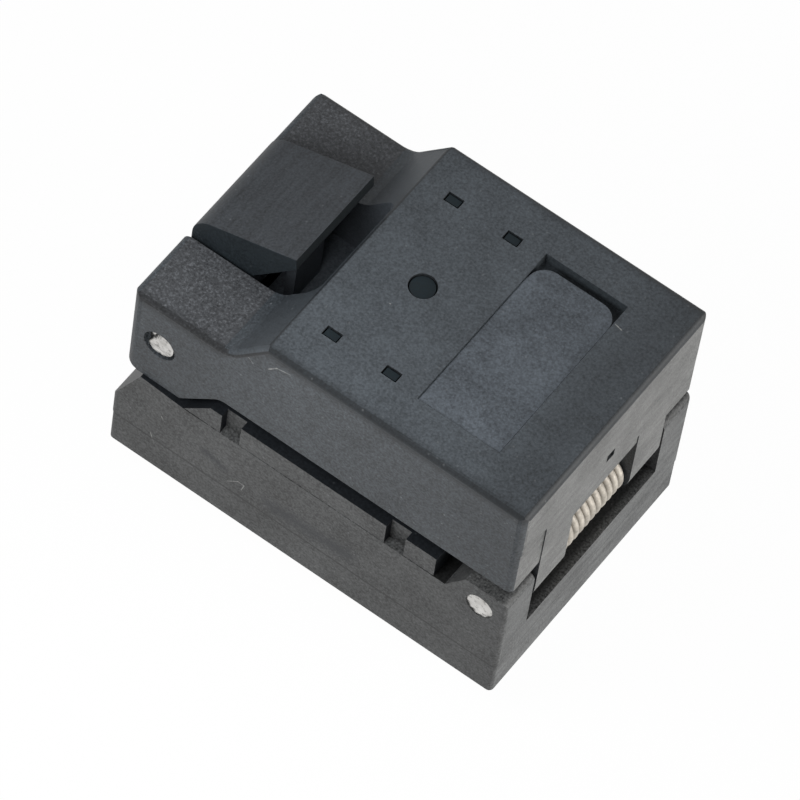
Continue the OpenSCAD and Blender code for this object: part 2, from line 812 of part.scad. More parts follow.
module knuckle() {
    translate([hinge_x, (knuckle_in_y + knuckle_out_y) / 2, hinge_z]) pin_across(hinge_r, knuckle_w);
    block([hinge_x - hinge_r, lid_x1], [knuckle_in_y, knuckle_out_y], [hinge_z, rear_z + slack]);
}

module pad_spring_places() {
    for (sx = [-1, 1], sy = [-1, 1]) {
        translate([sx * pad_spring_x, sy * pad_spring_y, 0]) children();
    }
}

module pressure_pad() color(moulded_dark) {
    difference() {
        union() {
            translate([0, 0, pad_z0]) linear_extrude(pad_t) rounded_rect(pad_l, pad_w, 0.8);
            translate([0, 0, nose_z]) linear_extrude(pad_z0 - nose_z) rounded_rect(nose_l, nose_l, 0.5);
            cylinder_between(stud_d, pad_z0, lid_z - stud_sink);
            for (sx = [-1, 1], sy = [-1, 1]) translate([sx * slot_x, sy * slot_y, 0]) pad_leg();
        }
        pad_spring_places() cylinder_between(2 * (pad_spring_r + seat_gap), pad_z1 - pad_seat, lid_z);
    }
}

module cylinder_between(d, z0, z1) {
    translate([0, 0, z0]) cylinder(d = d, h = z1 - z0);
}

// Leg through a slot in the lid's top, with a barb over the slot's ledge
module pad_leg() {
    neck = slot_neck_l - 2 * leg_gap;
    barb = slot_l - 2 * leg_gap;
    w = slot_w - 2 * leg_gap;
    translate([-neck / 2, -w / 2, pad_z0]) cube([neck, w, barb_z - pad_z0 + 0.1]);
    translate([-barb / 2, -w / 2, barb_z]) cube([barb, w, lid_z - leg_sink - barb_z]);
}

module pad_springs() color(steel) {
    pad_spring_places() translate([0, 0, pad_z1 - pad_seat]) {
        compression_spring(ceiling_z - pad_z1 + pad_seat, pad_spring_r, pad_wire_d, 7, 10);
    }
}

module lever_side() {
    corner = [lever_x0, thumb_z];
    tip = [lever_tip_x, lever_tip_z];
    turn = 90 - thumb_angle;
    round_t = thumb_r * tan(turn / 2);
    thumb = [cos(thumb_angle), sin(thumb_angle)];
    nose_x = arm_x + hook_reach;
    difference() {
        polygon([[lever_x0, hook_z - 1.2], corner, tip, tip + [0.1, -lever_tip_t],
            [lever_in_x, lever_in_z], [lever_in_x, latch_z + 0.6], [latch_x, latch_z],
            [latch_x, latch_z - lever_boss_r + 0.3], [arm_x, latch_z - lever_boss_r - 1.2],
            [arm_x, hook_z], [nose_x, hook_z], [nose_x, hook_z - hook_t / 2],
            [arm_x - 0.6, hook_z - 1.3], [lever_x0 + 0.3, hook_z - 1.5]]);
        difference() {
            polygon([corner - [0, round_t], corner + [-0.1, 0.1], corner + round_t * thumb]);
            translate(corner + [thumb_r, -round_t]) circle(thumb_r);
        }
    }
}

module latch_lever() color(moulded) {
    difference() {
        union() {
            across(lever_w) lever_side();
            translate([latch_x, 0, latch_z]) pin_across(lever_boss_r, lever_w);
        }
        both_sides() block([lever_x0 - slack, lever_tip_x], [hook_y, pocket_w], [0, hook_z + 0.5]);
        translate([latch_x, 0, latch_z]) pin_across(latch_pin_d / 2 + run_gap, base_w);
        translate([latch_seat_x, 0, latch_spring_z]) rotate([0, 90, 0]) {
            cylinder(r = latch_spring_r + 0.25, h = lever_in_x - latch_seat_x + slack);
        }
    }
}

module latch_pin() color(steel) {
    translate([latch_x, 0, latch_z]) steel_pin(latch_pin_d, 2 * (lid_y - latch_pin_sink));
}

module latch_spring() color(steel) {
    translate([latch_seat_x, 0, latch_spring_z]) rotate([0, 90, 0]) {
        compression_spring(spring_post_x - latch_seat_x, latch_spring_r, latch_wire_d, 5, 12);
    }
}

module hinge_pin() color(steel) {
    translate([hinge_x, 0, hinge_z]) steel_pin(hinge_pin_d, base_w);
}

// Torsion spring: one leg on the trough's floor, the other under the lid
module hinge_spring() color(steel) {
    wire_r = torsion_wire_d / 2;
    mean_r = hinge_pin_d / 2 + coil_gap + wire_r;
    y1 = knuckle_in_y - wire_r - seat_gap;
    y0 = -y1;
    turns = floor((y1 - y0) / torsion_pitch) + 0.25;
    steps = 16;
    count = turns * steps;
    coil = [for (i = [0:count])
        let (a = -45 + 360 * i / steps)
        [mean_r * cos(a), y0 + (y1 - y0) * i / count, mean_r * sin(a)]];
    leg_room = 0.4;
    foot_drop = hinge_z - mean_r * sin(45) - cavity_z - leg_room;
    lid_rise = rear_z - leg_room - hinge_z - mean_r * sin(45);
    foot = coil[0] - [foot_drop, 0, foot_drop];
    head = coil[count] + [-lid_rise, 0, lid_rise];
    translate([hinge_x, 0, hinge_z]) wire(concat([foot], coil, [head]), wire_r, [0, 1, 0], 8);
}

base_housing();
bottom_plate();
plate_screws();
contact_carrier();
contact_row(270);  // contact_row_front
contact_row(90);  // contact_row_back
contact_row(180);  // contact_row_left
contact_row(0);  // contact_row_right
ground_pin();
nest_frame();
device_nest();
nest_springs();
lid();
pressure_pad();
pad_springs();
latch_lever();
latch_pin();
latch_spring();
hinge_pin();
hinge_spring();
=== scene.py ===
import math

import bmesh
import bpy
from mathutils import Matrix, Vector, noise


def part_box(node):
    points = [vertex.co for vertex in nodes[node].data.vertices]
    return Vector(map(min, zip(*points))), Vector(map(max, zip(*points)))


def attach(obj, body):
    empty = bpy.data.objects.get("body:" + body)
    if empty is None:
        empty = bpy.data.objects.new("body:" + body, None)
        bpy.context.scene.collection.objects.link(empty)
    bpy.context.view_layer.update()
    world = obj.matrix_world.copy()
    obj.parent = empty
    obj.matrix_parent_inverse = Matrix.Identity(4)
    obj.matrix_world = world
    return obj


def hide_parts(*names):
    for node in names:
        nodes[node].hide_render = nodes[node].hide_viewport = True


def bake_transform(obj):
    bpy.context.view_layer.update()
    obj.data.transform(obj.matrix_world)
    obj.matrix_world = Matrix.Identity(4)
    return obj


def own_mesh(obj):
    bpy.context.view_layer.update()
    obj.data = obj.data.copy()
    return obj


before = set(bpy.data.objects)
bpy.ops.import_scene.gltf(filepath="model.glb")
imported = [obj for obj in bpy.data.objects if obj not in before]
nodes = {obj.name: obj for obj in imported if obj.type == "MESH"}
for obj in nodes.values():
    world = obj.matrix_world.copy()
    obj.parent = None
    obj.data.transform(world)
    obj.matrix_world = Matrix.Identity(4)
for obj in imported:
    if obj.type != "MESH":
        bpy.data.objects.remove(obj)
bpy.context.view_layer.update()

scene = bpy.context.scene

MM = 0.001

# Camera of the photograph: right, down and forward, and where it stands.
RIGHT = Vector((0.8058975, 0.5846330, 0.0934531))
DOWN = Vector((0.5360649, -0.6535327, -0.5343495))
FORWARD = Vector((-0.2513237, 0.4807279, -0.8400816))
EYE_MM = Vector((127.372, -244.032, 433.425))

# Places shared with the CAD part, in mm. The two pins lie across Y at (X, Z).
HINGE, HINGE_PIN_HALF = (13.05, 8.55), 10.1
LATCH, LATCH_PIN_HALF = (-12.45, 13.1), 9.84
PIN_D = 2.0
LID_TOP, EAR_TOP, LID_Y = 20.4, 17.15, 9.89
PANEL_X, PANEL_Y, PANEL_TOP, PANEL_DEPTH = (4.5, 10.9), 7.0, 20.25, 1.2
POCKET_X, POCKET_Y, RAMP_FOOT_X = -5.0, 4.36, -7.5

# On the base, in mm: the trough below the hinge spring, the gap under the lid, the joint line just
# below the plate's top, the ledge, and the backs of the nest frame's notches in the solids, with
# how much deeper the scene makes them. The floor is at the part's lowest point.
TROUGH_X, TROUGH_Z = 10.5, 5.0
UNDER_LID_Z = (5.0, 11.0)
JOINT_Z, LEDGE_Z = 2.95, 8.5
NOTCH_BACK_Y, NOTCH_EXTRA = 9.72, 0.3
FLOOR_Z = -3.0


class Shader:
    """A material under construction: add() makes a node, and link() wires two sockets."""

    def __init__(self, name):
        self.material = bpy.data.materials.new(name)
        self.material.use_nodes = True
        self.tree = self.material.node_tree
        self.bsdf = self.tree.nodes["Principled BSDF"]
        coords = self.add("ShaderNodeTexCoord")
        self.mm = self.vector("SCALE", coords.outputs["Object"], scale=1 / MM)
        self.normal = coords.outputs["Normal"]

    def add(self, kind, **props):
        node = self.tree.nodes.new(kind)
        for key, value in props.items():
            setattr(node, key, value)
        return node

    def link(self, out, into):
        self.tree.links.new(out, into)

    def feed(self, socket, value):
        """Sets a socket to a number or colour, or links it to another socket."""
        if isinstance(value, (int, float)):
            socket.default_value = value
        elif isinstance(value, tuple):
            socket.default_value = (*value, 1.0) if len(socket.default_value) == 4 else value
        else:
            self.link(value, socket)

    def set(self, **values):
        """Feeds inputs of the surface shader, named with _ for each space."""
        for key, value in values.items():
            self.feed(self.bsdf.inputs[key.replace("_", " ")], value)

    def vector(self, operation, a, b=None, scale=None):
        node = self.add("ShaderNodeVectorMath", operation=operation)
        self.feed(node.inputs[0], a)
        if b is not None:
            self.feed(node.inputs[1], b)
        if scale is not None:
            self.feed(node.inputs["Scale"], scale)
        return node.outputs["Value" if operation in ("DOT_PRODUCT", "LENGTH") else "Vector"]

    def parts(self, vector):
        """X, Y and Z of a vector."""
        node = self.add("ShaderNodeSeparateXYZ")
        self.link(vector, node.inputs[0])
        return tuple(node.outputs)

    def math(self, operation, a, b=0.0):
        node = self.add("ShaderNodeMath", operation=operation)
        self.feed(node.inputs[0], a)
        self.feed(node.inputs[1], b)
        return node.outputs[0]

    def plus(self, a, b):
        return self.math("ADD", a, b)

    def times(self, a, b):
        return self.math("MULTIPLY", a, b)

    def ramp(self, value, low, high, out_low=0.0, out_high=1.0):
        """A value from low to high turned into one from out_low to out_high, and held there."""
        node = self.add("ShaderNodeMapRange", clamp=True)
        for key, number in (("From Min", low), ("From Max", high),
                            ("To Min", out_low), ("To Max", out_high)):
            node.inputs[key].default_value = number
        self.link(value, node.inputs["Value"])
        return node.outputs["Result"]

    def mix(self, factor, a, b):
        node = self.add("ShaderNodeMix", data_type="RGBA")
        colours = [socket for socket in node.inputs if socket.type == "RGBA"]
        self.feed(node.inputs[0], factor)
        self.feed(colours[0], a)
        self.feed(colours[1], b)
        return next(socket for socket in node.outputs if socket.type == "RGBA")

    def noise(self, scale, detail=2.0, rough=0.5, stretch=None):
        node = self.add("ShaderNodeTexNoise")
        node.inputs["Scale"].default_value = scale
        node.inputs["Detail"].default_value = detail
        node.inputs["Roughness"].default_value = rough
        place = self.vector("MULTIPLY", self.mm, stretch) if stretch else self.mm
        self.link(place, node.inputs["Vector"])
        return node.outputs["Fac"]

    def specks(self):
        """Small dots: none in nearly half of the cells, and up to 1 in the others."""
        cells = self.add("ShaderNodeTexVoronoi", feature="F1")
        cells.inputs["Scale"].default_value = SPECK_CELLS
        self.link(self.mm, cells.inputs["Vector"])
        split = self.add("ShaderNodeSeparateColor")
        self.link(cells.outputs["Color"], split.inputs[0])
        dot = self.ramp(cells.outputs["Distance"], 0.0, SPECK_SIZE, 1.0, 0.0)
        return self.times(dot, self.ramp(split.outputs[0], SPECK_NONE, 1.0))

    def streak(self, a, b, width):
        """1 along a line from a to b, in mm, with an uneven edge and broken up by noise."""
        along = Vector(b) - Vector(a)
        from_a = self.vector("SUBTRACT", self.mm, tuple(a))
        reach = self.vector("DOT_PRODUCT", from_a, tuple(along))
        share = self.ramp(self.math("DIVIDE", reach, along.length_squared), 0.0, 1.0)
        nearest = self.vector("SCALE", tuple(along), scale=share)
        off = self.vector("LENGTH", self.vector("SUBTRACT", from_a, nearest))
        wobble = self.times(self.noise(STREAK_WOBBLE), width)
        edge = (width * STREAK_EDGE[0], width * STREAK_EDGE[1])
        line = self.ramp(self.plus(off, wobble), *edge, 1.0, 0.0)
        return self.times(line, self.ramp(self.noise(STREAK_BREAKS), *STREAK_BREAK_RAMP))

    def bump(self, height, strength, distance_mm):
        node = self.add("ShaderNodeBump")
        node.inputs["Strength"].default_value = strength
        node.inputs["Distance"].default_value = distance_mm * MM
        self.link(height, node.inputs["Height"])
        self.link(node.outputs["Normal"], self.bsdf.inputs["Normal"])


# Noise of the materials: scale per mm, detail and roughness. Most values lie within MOST.
GRAIN_NOISE, SPARKLE_NOISE, BLOTCH_NOISE = (6.0, 2.0, 0.6), (7.5, 2.0, 0.6), (0.35, 3.0, 0.55)
LINE_NOISE, PIT_NOISE, CUT_NOISE = (1.0, 3.0, 0.6), (5.5, 3.0, 0.7), (3.2, 3.0, 0.6)
DULL_NOISE = (1.1, 2.0, 0.5)
MOST, SPARKLE_RANGE = (0.3, 0.7), (0.56, 0.72)

# Glass fibres in the plastic: cells per mm, size of a dot in mm, share of the cells without one.
FIBRE, SPECK_CELLS, SPECK_SIZE, SPECK_NONE = (0.30, 0.31, 0.32), 1.6, 0.16, 0.45

# Scratches, painted glints and darker streaks: colour and strength, and how their lines are broken
# up.
SCRATCH_AND_GLINT, SCRATCH_AND_GLINT_SHARE = (0.42, 0.42, 0.40), 0.75
DARK_STREAK, DARK_STREAK_SHARE = (0.022, 0.024, 0.028), 0.95
STREAK_WOBBLE, STREAK_BREAKS, STREAK_BREAK_RAMP = 3.0, 9.0, (0.3, 0.6, 0.25, 1.0)
STREAK_EDGE = (0.5, 1.3)

# Coarsely eroded surface: dark pits and pale glints for a share of 1, and how deep it is.
PIT_RAMP, PIT_DARK, PIT_PALE = (0.36, 0.6), -0.45, 0.2
GLINT_RAMP, PIT_HEIGHT = (0.55, 0.7), 3.0

# Where the painted edge, lip and rim shade and the seam of plastic() start and end: on the normal's
# Z, and in mm.
LEVEL, UPRIGHT = (0.92, 0.995), (0.0, 0.1)
LIP_Y = (LID_Y - 0.8, LID_Y - 0.35)
RAMP_X, RIM_DEPTH = (RAMP_FOOT_X - 0.5, POCKET_X), (0.4, 1.1)
SEAM_HALF = (0.04, 0.16)

DARKEST_TONE = 0.1
PLASTIC_ROUGH_CHANGE, PLASTIC_RELIEF_MM = (-0.06, 0.08), 0.03


def plastic(name, colour, grain=0.30, blotch=0.12, sparkle=0.25, bump=0.4, rough=0.5, gloss=0.3,
            specks=0.3, streaks=None, marks=(), dark_streaks=(), coarse=None, edge=0.0, lip=0.0,
            rim=0.0, fade=None, seam=0.0):
    """Glass-filled black moulding: fine grain, soft blotches, pale fibre specks, scratches.

    streaks = (stretch, share) draws lines along the axis with the least stretch.
    marks and dark_streaks = (from, to, width) are pale scratches, some of them painted glints, and
    soft dark streaks, in mm.
    coarse = (share, x_full, x_none) adds the sparkle of a coarsely eroded mould, fading along X.
    edge paints shade on the broken upper edges, and below 0 a painted highlight on them.
    lip and rim paint shade on the lid's top beside those edges and on its sides below them.
    fade = (x_from, x_to, start, end) changes the tone away from the middle along X: painted shade
    below 1, painted light above 1.
    seam darkens the joint of base and plate.
    """
    s = Shader(name)
    x, y, z = s.parts(s.mm)
    fine = s.noise(*GRAIN_NOISE)
    tone = s.plus(1.0, s.ramp(fine, *MOST, -grain, grain))
    tone = s.plus(tone, s.ramp(s.noise(*BLOTCH_NOISE), *MOST, -blotch, blotch))
    tone = s.plus(tone, s.ramp(s.noise(*SPARKLE_NOISE), *SPARKLE_RANGE, 0.0, sparkle))
    height = fine
    if streaks:
        stretch, share = streaks
        lines = s.noise(*LINE_NOISE, stretch=stretch)
        tone = s.plus(tone, s.ramp(lines, *MOST, -share, share))
        height = s.plus(fine, lines)
    if coarse:
        share, x_full, x_none = coarse
        pits = s.noise(*PIT_NOISE)
        near = s.ramp(x, x_full, x_none, 1.0, 0.0)
        glitter = s.plus(s.ramp(pits, *PIT_RAMP, PIT_DARK * share, PIT_PALE * share),
                         s.ramp(pits, *GLINT_RAMP, 0.0, share))
        tone = s.plus(tone, s.times(glitter, near))
        height = s.plus(fine, s.times(s.times(pits, near), PIT_HEIGHT))
    # Painted shade on the slanted faces of the broken upper edges; below 0, a painted highlight.
    if edge:
        up = s.parts(s.normal)[2]
        slant = s.times(s.ramp(up, *LEVEL, 1.0, 0.0), s.ramp(up, *UPRIGHT))
        tone = s.times(tone, s.ramp(slant, 0.0, 1.0, 1.0, 1.0 - edge))
    # Painted shade on the top beside its long upper edges.
    if lip:
        tone = s.times(tone, s.ramp(s.math("ABSOLUTE", y), *LIP_Y, 1.0, 1.0 - lip))
    # Painted shade on the sides just below the top and the ears' tops.
    if rim:
        depth = s.math("SUBTRACT", s.ramp(x, *RAMP_X, EAR_TOP, LID_TOP), z)
        tone = s.times(tone, s.ramp(depth, *RIM_DEPTH, 1.0 - rim, 1.0))
    # Painted shade along X, and painted light where a value is above 1.
    if fade:
        tone = s.times(tone, s.ramp(s.math("ABSOLUTE", x), *fade))
    if seam:
        off = s.math("ABSOLUTE", s.math("SUBTRACT", z, JOINT_Z))
        tone = s.times(tone, s.ramp(off, *SEAM_HALF, 1.0 - seam, 1.0))
    paint = s.vector("SCALE", colour, scale=s.math("MAXIMUM", tone, DARKEST_TONE))
    paint = s.mix(s.times(s.specks(), specks), paint, FIBRE)
    for mark in dark_streaks:
        paint = s.mix(s.times(s.streak(*mark), DARK_STREAK_SHARE), paint, DARK_STREAK)
    # Pale scratches, and painted glints drawn the same way.
    for mark in marks:
        paint = s.mix(s.times(s.streak(*mark), SCRATCH_AND_GLINT_SHARE), paint, SCRATCH_AND_GLINT)
    roughness = s.ramp(fine, *MOST, *(rough + change for change in PLASTIC_ROUGH_CHANGE))
    s.set(Base_Color=paint, Roughness=roughness, Specular_IOR_Level=gloss)
    s.bump(height, bump, PLASTIC_RELIEF_MM)
    return s.material


DULL_RAMP, CUT_RAMP, CUT_SHADE = (0.35, 0.7), (0.52, 0.7), 0.35
METAL_ROUGH_CHANGE, METAL_BUMP, METAL_RELIEF_MM = (-0.08, 0.12), 0.15, 0.01


def metal(name, colour, dull, rough, stretch, pits=0.0):
    """Metal with fine lines and dull patches, and dark pits where it was cut."""
    s = Shader(name)
    lines = s.noise(*LINE_NOISE, stretch=stretch)
    paint = s.mix(s.ramp(s.noise(*DULL_NOISE), *DULL_RAMP), colour, dull)
    if pits:
        cuts = s.times(s.ramp(s.noise(*CUT_NOISE), *CUT_RAMP), pits)
        paint = s.mix(cuts, paint, tuple(c * CUT_SHADE for c in dull))
    roughness = s.ramp(lines, *MOST, *(rough + change for change in METAL_ROUGH_CHANGE))
    s.set(Base_Color=paint, Metallic=1.0, Roughness=roughness)
    s.bump(lines, METAL_BUMP, METAL_RELIEF_MM)
    return s.material


# Scratches, darker streaks and painted glints that the photograph shows: from, to and width, in mm.
SIDE_MARKS = (
    ((-6.56, -9.9, 19.14), (-6.1, -9.9, 18.37), 0.07),
    ((-6.1, -9.9, 18.37), (-5.58, -9.9, 17.9), 0.05),
    ((-4.45, -9.9, 18.37), (-3.86, -9.9, 19.05), 0.09),
    ((-3.86, -9.9, 19.05), (-2.84, -9.9, 19.3), 0.06),
)
BASE_MARKS = (
    ((-12.17, -10.1, 3.52), (-11.82, -10.1, 2.4), 0.05),
    ((-11.51, -10.1, 6.04), (-11.36, -10.1, 5.77), 0.06),
    ((-6.12, -10.1, 3.8), (-5.32, -10.1, 4.55), 0.05),
    ((-5.32, -10.1, 4.55), (-4.84, -10.1, 4.5), 0.05),
    ((-4.84, -10.1, 4.5), (-5.01, -10.1, 3.84), 0.06),
)
# Darker streaks on the base's near side.
BASE_DARK_STREAKS = (
    ((-2.6, -10.1, 4.3), (3.0, -10.1, 4.5), 1.5),
    ((-8.0, -10.1, 5.4), (-6.6, -10.1, 5.0), 0.7),
)
TOP_MARKS_AND_GLINTS = (
    ((10.93, 5.35, LID_TOP), (11.47, 5.24, LID_TOP), 0.06),
    # The next two are painted glints on the pocket's edge, drawn as pale marks.
    ((-5.28, -2.75, LID_TOP), (-5.22, -2.56, LID_TOP), 0.08),
    ((-4.72, -0.88, LID_TOP), (-4.78, -0.18, LID_TOP), 0.04),
    ((-0.85, -2.35, LID_TOP), (-0.80, -2.35, LID_TOP), 0.07),
)

GREY = (0.056, 0.057, 0.057)
BLUE_GREY = (0.055, 0.063, 0.071)
SPARKLE_X = (RAMP_FOOT_X - 1.0, RAMP_FOOT_X + 2.2)
HIDDEN = {"rough": 0.6, "specks": 0.1}

# Lid and lever, then base, then the dark pieces inside.
# The lid's sides, top and ears carry painted shade along their upper edges; the sides and top also
# darken towards their ends as painted shade.
SIDE = plastic("moulded_side", (0.048, 0.0535, 0.059), grain=0.65, sparkle=0.45, blotch=0.15,
               specks=0.5, marks=SIDE_MARKS, rim=0.6, fade=(2.0, 13.0, 1.0, 0.82))
TOP = plastic("moulded_top", BLUE_GREY, grain=0.40, blotch=0.15, sparkle=0.3, marks=TOP_MARKS_AND_GLINTS,
              edge=0.6, lip=0.3, fade=(9.5, 13.0, 1.0, 0.75))
# Painted light: the lid's end faces get a lighter copy of the plastic, with their own streaks.
END_LIT = plastic("moulded_end_lit", (0.100, 0.101, 0.099), grain=0.55, sparkle=0.4, blotch=0.22, bump=0.5,
              streaks=((1.6, 0.35, 1.6), 0.25))
EAR = plastic("moulded_ear", (0.063, 0.066, 0.071), grain=0.3, bump=0.5, specks=0.5, edge=0.6,
              lip=0.3, coarse=(0.9, *SPARKLE_X))
# Painted shade: the ramp, leaning away from the side light, gets a darker copy of the ears'
# plastic.
RAMP_SHADED = plastic("moulded_ramp_shaded", (0.045, 0.052, 0.059), grain=0.3, bump=0.5, specks=0.5,
               coarse=(0.8, *SPARKLE_X))
# The panel's broken edges get a painted highlight.
PANEL = plastic("moulded_panel", (0.068, 0.078, 0.090), grain=0.4, blotch=0.28, sparkle=0.4,
                bump=0.15, rough=0.42, edge=-0.9)
# Painted shade: the walls and floor of the panel's recess get a darker copy of the plastic.
GROOVE_SHADE = plastic("moulded_groove_shade", (0.034, 0.040, 0.045), gloss=0.25, **HIDDEN)
# Painted light: the latch pocket's faces get a lighter copy of the plastic, lifting the pocket's
# darkness.
POCKET_LIT = plastic("moulded_pocket_lit", (0.07, 0.079, 0.09), gloss=0.25, **HIDDEN)
SHADE = plastic("moulded_shade", (0.05, 0.056, 0.064), gloss=0.25, **HIDDEN)
# Painted shade in part: the lever's thumb, tilted away from the side light, gets a darker copy of
# the plastic, with its own streaks.
THUMB_SHADED = plastic("moulded_thumb_shaded", (0.033, 0.037, 0.042), grain=0.45, sparkle=0.4,
                streaks=((2.4, 0.25, 2.4), 0.25))
# Painted shade: the lever's end face above the ears is made near black.
LEVER_END_SHADE = plastic("moulded_lever_end_shade", (0.005, 0.0065, 0.0075), gloss=0.1, **HIDDEN)

BASE = plastic("moulded_base", GREY, grain=0.70, sparkle=0.5, blotch=0.24, specks=0.4,
               marks=BASE_MARKS, dark_streaks=BASE_DARK_STREAKS, seam=0.6)
# Painted light in part: the base's end faces get a slightly lighter copy of its plastic, with their
# own streaks.
BASE_END_LIT = plastic("moulded_base_end_lit", (0.064, 0.066, 0.066), grain=0.80, sparkle=0.5, blotch=0.25,
                   bump=0.5, streaks=((1.8, 0.25, 1.8), 0.45), seam=0.6)
# Painted shadow of the hinge spring on the trough's floor, lifting to a painted highlight at its
# outer edge.
TROUGH = plastic("moulded_trough", GREY, grain=0.70, sparkle=0.5, rough=0.6, gloss=0.2, specks=0.2,
                 fade=(14.35, 14.95, 0.3, 1.9))
# Painted shade: the ledge darkens towards its ends, under the lid.
LEDGE = plastic("moulded_ledge", GREY, grain=0.70, sparkle=0.5, specks=0.2,
                fade=(8.0, 8.6, 1.1, 0.2))
# Painted shade: the base's faces under the lid's skirt, the notches' walls among them, are made
# near black.
GAP_SHADE = plastic("moulded_gap_shade", (0.010, 0.0115, 0.0135), gloss=0.12, **HIDDEN)

# Near black: the inner pieces' own colour, and painted shade on the lever's sides.
INNER_AND_SHADE = plastic("moulded_inner_and_shade", (0.014, 0.018, 0.021), gloss=0.18, **HIDDEN)
# Painted shade: the pressure pad is made near black so that the lid's slots and hole above it read
# dark.
PAD_SHADE = plastic("moulded_pad_shade", (0.008, 0.013, 0.016), grain=0.2, gloss=0.2, **HIDDEN)

PIN = metal("pin_steel", (0.66, 0.65, 0.63), (0.48, 0.47, 0.45), rough=0.36,
            stretch=(3.0, 0.6, 3.0), pits=0.8)
WIRE = metal("spring_wire", (0.44, 0.41, 0.365), (0.35, 0.325, 0.29), rough=0.72,
             stretch=(5.0, 5.0, 5.0), pits=0.3)
GOLD = metal("contact_gold", (0.83, 0.62, 0.28), (0.72, 0.52, 0.22), rough=0.26,
             stretch=(6.0, 6.0, 1.0))
SCREW = metal("screw_steel", (0.42, 0.42, 0.43), (0.30, 0.30, 0.31), rough=0.38,
              stretch=(4.0, 4.0, 1.0))


def new_object(name, mesh, *materials):
    piece = bpy.data.objects.new(name, mesh)
    scene.collection.objects.link(piece)
    for material in materials:
        mesh.materials.append(material)
    return piece


WIDE_AREA, PLANE_STEP = 8.0 * MM ** 2, 0.02 * MM
SMOOTH_COS = math.cos(math.radians(40))


def lead_normals(mesh):
    """Keeps wide flat faces flat, and lets the narrow faces at their edges turn smoothly."""
    faces = mesh.polygons
    planes, area = [], {}
    for face in faces:
        n = face.normal
        offset = round(n.dot(face.center) / PLANE_STEP)
        plane = (round(n.x, 2), round(n.y, 2), round(n.z, 2), offset)
        planes.append(plane)
        area[plane] = area.get(plane, 0.0) + face.area
    around = [[] for _ in mesh.vertices]
    for face in faces:
        for v in face.vertices:
            around[v].append(face.index)
    normals = []
    for face in faces:
        for v in face.vertices:
            near = [i for i in around[v] if faces[i].normal.dot(face.normal) > SMOOTH_COS]
            widest = max(near, key=lambda i: area[planes[i]])
            if area[planes[widest]] > WIDE_AREA:
                normals.append(faces[widest].normal.copy())
            else:
                total = sum((faces[i].normal * faces[i].area for i in near), Vector())
                normals.append(total.normalized())
    mesh.normals_split_custom_set(normals)


# In soften(): vertices this close become one, faces this flat are joined, edges this sharp are
# broken, and faces this thin are dropped. Distances in metres.
WELD, FLAT_ANGLE, SHARP_ANGLE, SLIVER = 2e-7, math.radians(0.5), math.radians(32), 1e-6


def soften(node, body, materials, edge_mm, pick=None, shape=None):
    """Copy of a CAD node with its sharp edges broken, which stands for the node.

    pick gives the index of a face's material, and shape may change the copy's form.
    """
    bm = bmesh.new()
    bm.from_mesh(nodes[node].data)
    bmesh.ops.remove_doubles(bm, verts=bm.verts, dist=WELD)
    bmesh.ops.dissolve_limit(bm, angle_limit=FLAT_ANGLE, verts=bm.verts, edges=bm.edges)
    if shape:
        shape(bm)
    for face in bm.faces:
        face.smooth = True
        face.material_index = pick(face.calc_center_median() / MM, face.normal) if pick else 0
    mesh = bpy.data.meshes.new(node + "_sharp")
    bm.to_mesh(mesh)
    bm.free()
    piece = new_object(node + "_soft", mesh, *materials)
    bevel = piece.modifiers.new("edges", "BEVEL")
    bevel.width = edge_mm * MM
    bevel.segments = 2
    bevel.limit_method = "ANGLE"
    bevel.angle_limit = SHARP_ANGLE
    bevel.miter_outer = "MITER_ARC"
    bevelled = piece.evaluated_get(bpy.context.evaluated_depsgraph_get())
    piece.data = bpy.data.meshes.new_from_object(bevelled)
    piece.modifiers.clear()
    piece.data.name = node + "_soft"
    bm = bmesh.new()
    bm.from_mesh(piece.data)
    bmesh.ops.dissolve_degenerate(bm, dist=SLIVER, edges=bm.edges)
    bm.to_mesh(piece.data)
    bm.free()
    lead_normals(piece.data)
    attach(piece, body)
    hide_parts(node)


END_DOME = 0.25


def tube(path, radius, sides):
    """Round wire along a path in mm, with slightly domed ends."""
    last = len(path) - 1
    normal = None
    rings = []
    for i, p in enumerate(path):
        ahead = (path[min(i + 1, last)] - path[max(i - 1, 0)]).normalized()
        if normal is None:
            normal = ahead.orthogonal().normalized()
        normal = (normal - ahead * normal.dot(ahead)).normalized()
        side = ahead.cross(normal)
        rings.append([p + radius * (math.cos(a) * normal + math.sin(a) * side)
                      for a in (2 * math.pi * k / sides for k in range(sides))])
    verts = [v * MM for ring in rings for v in ring]
    faces = []
    for i in range(last):
        for k in range(sides):
            a, b = i * sides + k, i * sides + (k + 1) % sides
            faces.append((a, b, b + sides, a + sides))
    for end, inward in ((0, 1), (last, last - 1)):
        out = (path[end] - path[inward]).normalized()
        tip = len(verts)
        verts.append((path[end] + out * radius * END_DOME) * MM)
        for k in range(sides):
            a, b = end * sides + k, end * sides + (k + 1) % sides
            faces.append((tip, b, a) if end == 0 else (tip, a, b))
    return verts, faces


def wires(name, node, paths, radius, sides):
    """Wire springs along the paths, which stand for a CAD node."""
    verts, faces = [], []
    for path in paths:
        v, f = tube(path, radius, sides)
        faces += [tuple(i + len(verts) for i in face) for face in f]
        verts += v
    mesh = bpy.data.meshes.new(name)
    mesh.from_pydata([tuple(v) for v in verts], [], faces)
    mesh.polygons.foreach_set("use_smooth", [True] * len(mesh.polygons))
    piece = new_object(name, mesh, WIRE)
    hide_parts(node)
    return piece


UP = (0, 0, 1)
COIL_STEPS, COIL_SIDES = 28, 10


